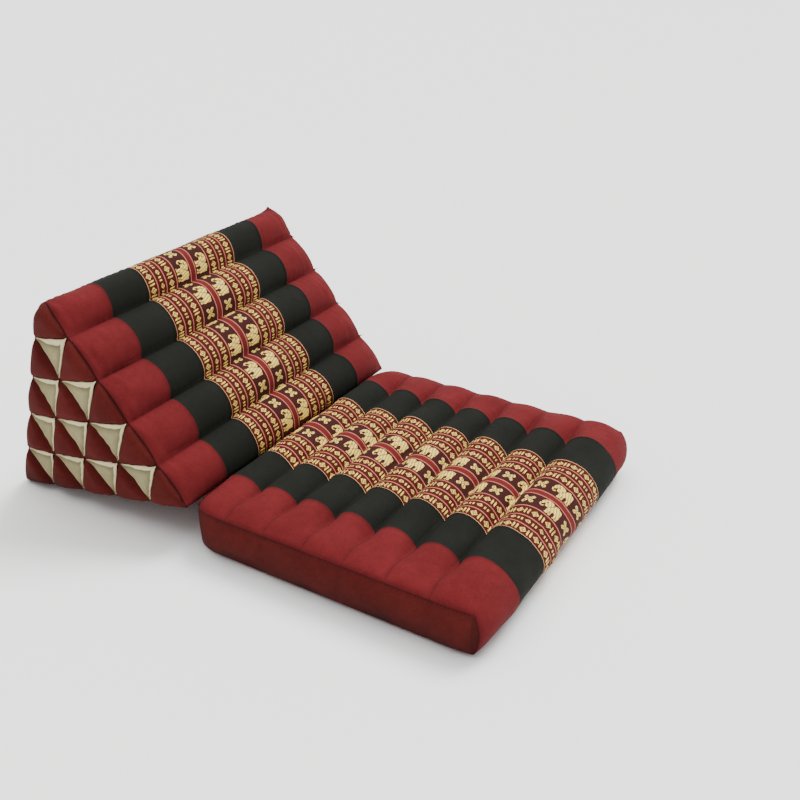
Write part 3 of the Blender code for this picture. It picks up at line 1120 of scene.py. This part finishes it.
def chart_mask(nodes, across, along, chart, first_row=0):
    """1 where the chart has a raised thread, at whole numbers of threads across and along.

    Each line of the chart is one whole number, with a binary digit for each thread.
    """
    total = 0.0
    for index, line in enumerate(chart):
        bits = sum(1 << k for k, mark in enumerate(line) if mark == "#")
        if bits:
            here = nodes.math("COMPARE", along, float(index + first_row), 0.5)
            total = nodes.math("MULTIPLY_ADD", here, float(bits), total)
    inside = band(nodes, across, -0.5, len(chart[0]) - 0.5)
    place = nodes.math("MAXIMUM", nodes.math("MINIMUM", across, MOST_THREADS), 0.0)
    power = nodes.math("POWER", 2.0, place)
    shifted = nodes.math("FLOOR", nodes.math("DIVIDE", nodes.math("ADD", total, 0.5), power))
    odd = nodes.math("MODULO", shifted, 2.0)
    return nodes.times(odd, inside)


CREAM = (0.98, 0.69, 0.150, 1.0)
EDGE_CREAM = (0.86, 0.46, 0.22, 1.0)
DEEP_CREAM = (0.16, 0.090, 0.022, 1.0)
PINK = (0.52, 0.155, 0.105, 1.0)
MAROON = (0.062, 0.0028, 0.0010, 1.0)
BROWN = (0.036, 0.0040, 0.0034, 1.0)
STRIPE_RED = (0.135, 0.0095, 0.0080, 1.0)
WORN = (0.02, 0.006, 0.005, 1.0)

# Distances from the middle of the patterned strip
STRIPE_EDGE = 0.0045
LINES = (0.0055, 0.0370, 0.0590, 0.0765)
LINE_HALF = 0.0009
EDGE_LINE = 0.0953
LEFT_FEET = -0.0336
RIGHT_FEET = 0.0085
BAND_C_START = 0.0425
BAND_B_START = 0.0640
BAND_A_START = 0.0805
MAT_PHASE = 0.006
HATCH = 0.0049
HATCH_SLANT = 0.35
HATCH_SHADE = (0.50, 0.18)
PATTERN_GRAIN = 500.0
PATTERN_SPECULAR = 0.14
PATTERN_SHEEN = 0.02
GROUND_ROUGHNESS = 0.80
RAISED_ROUGHNESS = -0.12

# The brocade's wear, by its grain and ribs
GRAIN_WEAR = 0.4
RIB_WEAR = 0.06
WEAR_LEVEL = -0.08


def patterned_cotton(name, phase):
    """Brocade bands, mirrored about the middle, except that every elephant's feet point to -X."""
    nodes = Nodes(name)
    s, along = nodes.cloth_uv()
    place = nodes.place()
    away = nodes.math("ABSOLUTE", s)

    def threads(value, start):
        """Whole threads from the start to the value."""
        return nodes.math("FLOOR", nodes.math("DIVIDE", nodes.math("SUBTRACT", value, start), THREAD))

    thread = threads(along, -phase)
    row = nodes.math("FLOORED_MODULO", thread, float(REPEAT))
    small_row = nodes.math("FLOORED_MODULO", thread, float(MOTIF_REPEAT))
    feet_left = nodes.times(nodes.math("LESS_THAN", s, 0.0), LEFT_FEET)
    feet_right = nodes.times(nodes.math("GREATER_THAN", s, 0.0), RIGHT_FEET)
    feet = nodes.math("ADD", feet_left, feet_right)
    beast = threads(s, feet)
    elephant = chart_mask(nodes, beast, row, head_first(ELEPHANT))
    petals = nodes.math("SUBTRACT", beast, FLOWER_INSET)
    flower = chart_mask(nodes, petals, row, FLOWER, FLOWER_START)
    motif = nodes.math("MAXIMUM", elephant, flower)
    wide = nodes.math("MAXIMUM",
                      chart_mask(nodes, threads(away, BAND_C_START), small_row, DIAMOND),
                      chart_mask(nodes, threads(away, BAND_A_START), small_row, DIAMOND))
    narrow = chart_mask(nodes, threads(away, BAND_B_START), small_row, SMALL_DIAMOND)
    raised = nodes.math("MAXIMUM", nodes.math("MAXIMUM", motif, wide), narrow)
    edge = nodes.math("GREATER_THAN", away, EDGE_LINE)
    pink = 0.0
    for line in LINES:
        pink = nodes.math("MAXIMUM", pink, band(nodes, away, line - LINE_HALF, line + LINE_HALF))

    ground = nodes.mix(band(nodes, away, LINES[0], LINES[1]), MAROON, BROWN)
    ground = nodes.mix(nodes.math("LESS_THAN", away, STRIPE_EDGE), ground, STRIPE_RED)
    ribs = nodes.wave(along, THREAD / 2)
    hatch = nodes.wave(nodes.math("MULTIPLY_ADD", s, HATCH_SLANT, along), HATCH)
    fine = nodes.noise(place, PATTERN_GRAIN, 2.0)
    cream = nodes.mix(nodes.math("MULTIPLY_ADD", hatch, *HATCH_SHADE), CREAM, DEEP_CREAM)
    colour = nodes.mix(pink, ground, PINK)
    colour = nodes.mix(raised, colour, cream)
    colour = nodes.mix(edge, colour, EDGE_CREAM)
    worn = nodes.math("MULTIPLY_ADD", ribs, RIB_WEAR, WEAR_LEVEL)
    worn = nodes.math("MULTIPLY_ADD", fine, GRAIN_WEAR, worn)
    colour = nodes.mix(worn, colour, WORN)
    nodes.surface("Base Color", colour)
    rough = nodes.math("MULTIPLY_ADD", raised, RAISED_ROUGHNESS, GROUND_ROUGHNESS)
    nodes.surface("Roughness", rough)
    nodes.surface("Specular IOR Level", PATTERN_SPECULAR)
    nodes.surface("Sheen Weight", PATTERN_SHEEN)
    nodes.surface("Sheen Roughness", SHEEN_ROUGHNESS)
    height = nodes.math("MULTIPLY_ADD", ribs, 0.2, nodes.math("MAXIMUM", raised, pink))
    nodes.bump(height, PATTERN_RELIEF)
    return nodes.material


# Stage and camera

CAMERA_AT = Vector((-1.0171, -0.8162, 0.8007))
CAMERA_AZIMUTH = math.radians(-58.3456)
CAMERA_ELEVATION = math.radians(27.8743)
CAMERA_ROLL = math.radians(-0.7146)
FOCAL_PIXELS = 949.27
IMAGE_SIDE = 800
SENSOR = 36.0
FLOOR_HALF = 60.0
FLOOR_COLOUR = (0.92, 0.92, 0.91, 1)
FLOOR_ROUGHNESS = 0.9
STUDIO_STRENGTH = 0.72


def add_camera():
    camera = add_object("camera", bpy.data.cameras.new("camera"))
    camera.data.sensor_width = SENSOR
    camera.data.lens = FOCAL_PIXELS / IMAGE_SIDE * SENSOR
    ahead = Vector((
        -math.sin(CAMERA_AZIMUTH) * math.cos(CAMERA_ELEVATION),
        math.cos(CAMERA_AZIMUTH) * math.cos(CAMERA_ELEVATION),
        -math.sin(CAMERA_ELEVATION),
    ))
    level = Vector((math.cos(CAMERA_AZIMUTH), math.sin(CAMERA_AZIMUTH), 0.0))
    upright = level.cross(ahead)
    turn = Matrix((level, upright, -ahead)).transposed() @ Matrix.Rotation(CAMERA_ROLL, 3, "Z")
    camera.matrix_world = Matrix.Translation(CAMERA_AT + Vector((0, FOLD_Y, 0))) @ turn.to_4x4()
    bpy.context.scene.camera = camera


def add_light(name, at, softness, strength):
    """A wide, far lamp that shines from the given side onto the cushion."""
    lamp = bpy.data.lights.new(name, "SUN")
    lamp.angle = math.radians(softness)
    lamp.energy = strength
    light = add_object(name, lamp)
    light.location = at
    light.rotation_euler = (-Vector(at)).to_track_quat("-Z", "Y").to_euler()


def add_stage():
    mesh = bpy.data.meshes.new("floor")
    corners = [(-1, -1), (1, -1), (1, 1), (-1, 1)]
    points = [(FLOOR_HALF * x, FLOOR_HALF * y, 0) for x, y in corners]
    mesh.from_pydata(points, [], [(0, 1, 2, 3)])
    floor = add_object("floor", mesh)
    paint = Nodes("pale_floor")
    paint.surface("Base Color", FLOOR_COLOUR)
    paint.surface("Roughness", FLOOR_ROUGHNESS)
    mesh.materials.append(paint.material)
    world = bpy.data.worlds.new("studio")
    world.use_nodes = True
    background = world.node_tree.nodes["Background"]
    background.inputs["Color"].default_value = (1, 1, 1, 1)
    background.inputs["Strength"].default_value = STUDIO_STRENGTH
    bpy.context.scene.world = world
    add_light("key", at=(1.7, -0.5, 2.6), softness=26, strength=3.6)
    add_light("top", at=(0.3, 0.2, 3.0), softness=80, strength=3.0)


# Each cotton's colour, and the darker one that mottles it
RED = ((0.158, 0.0140, 0.0160, 1.0), (0.080, 0.0046, 0.0056, 1.0))
BLACK = ((0.0105, 0.0118, 0.0080, 1.0), (0.0042, 0.0048, 0.0032, 1.0))
# The next red is the red cloth made darker and browner, as painted shade on the end panels, the mat's
# sides and the hinge
SHADED_RED = ((0.112, 0.0115, 0.0090, 1.0), (0.048, 0.0033, 0.0026, 1.0))
NATURAL = ((0.49, 0.44, 0.25, 1.0), (0.33, 0.29, 0.155, 1.0))
DARK_THREAD = ((0.020, 0.003, 0.003, 1.0), (0.010, 0.002, 0.002, 1.0))
CORD = ((0.060, 0.006, 0.006, 1.0), (0.030, 0.003, 0.003, 1.0))

red = plain_cotton("red_cotton", *RED, floor_shade=0.5)
black = plain_cotton("black_cotton", *BLACK, floor_shade=0.2)
shaded_red = plain_cotton("shaded_red_cotton", *SHADED_RED, floor_shade=1.0)
natural = pocket_cotton("natural_cotton", *NATURAL)
dark_thread = cotton_nodes("dark_red_thread", *DARK_THREAD, has_uv=False)
cord = cotton_nodes("red_cord", *CORD, has_uv=False)
for nodes, cloth in (dark_thread, cord):
    nodes.surface("Base Color", cloth)
pattern_back = patterned_cotton("patterned_cotton_backrest", 0.0)
pattern_mat = patterned_cotton("patterned_cotton_mat", MAT_PHASE)

backrest_grid = make_backrest([red, black, pattern_back, shaded_red])
make_mat([red, black, pattern_mat, shaded_red])
for side, side_name in ((-1, "left"), (1, "right")):
    for row in range(1, ROWS):
        for column in range(row):
            make_insert(side, side_name, row, column, natural)
make_sewing(backrest_grid, dark_thread[0].material, cord[0].material)
make_hinge(shaded_red)

add_camera()
add_stage()
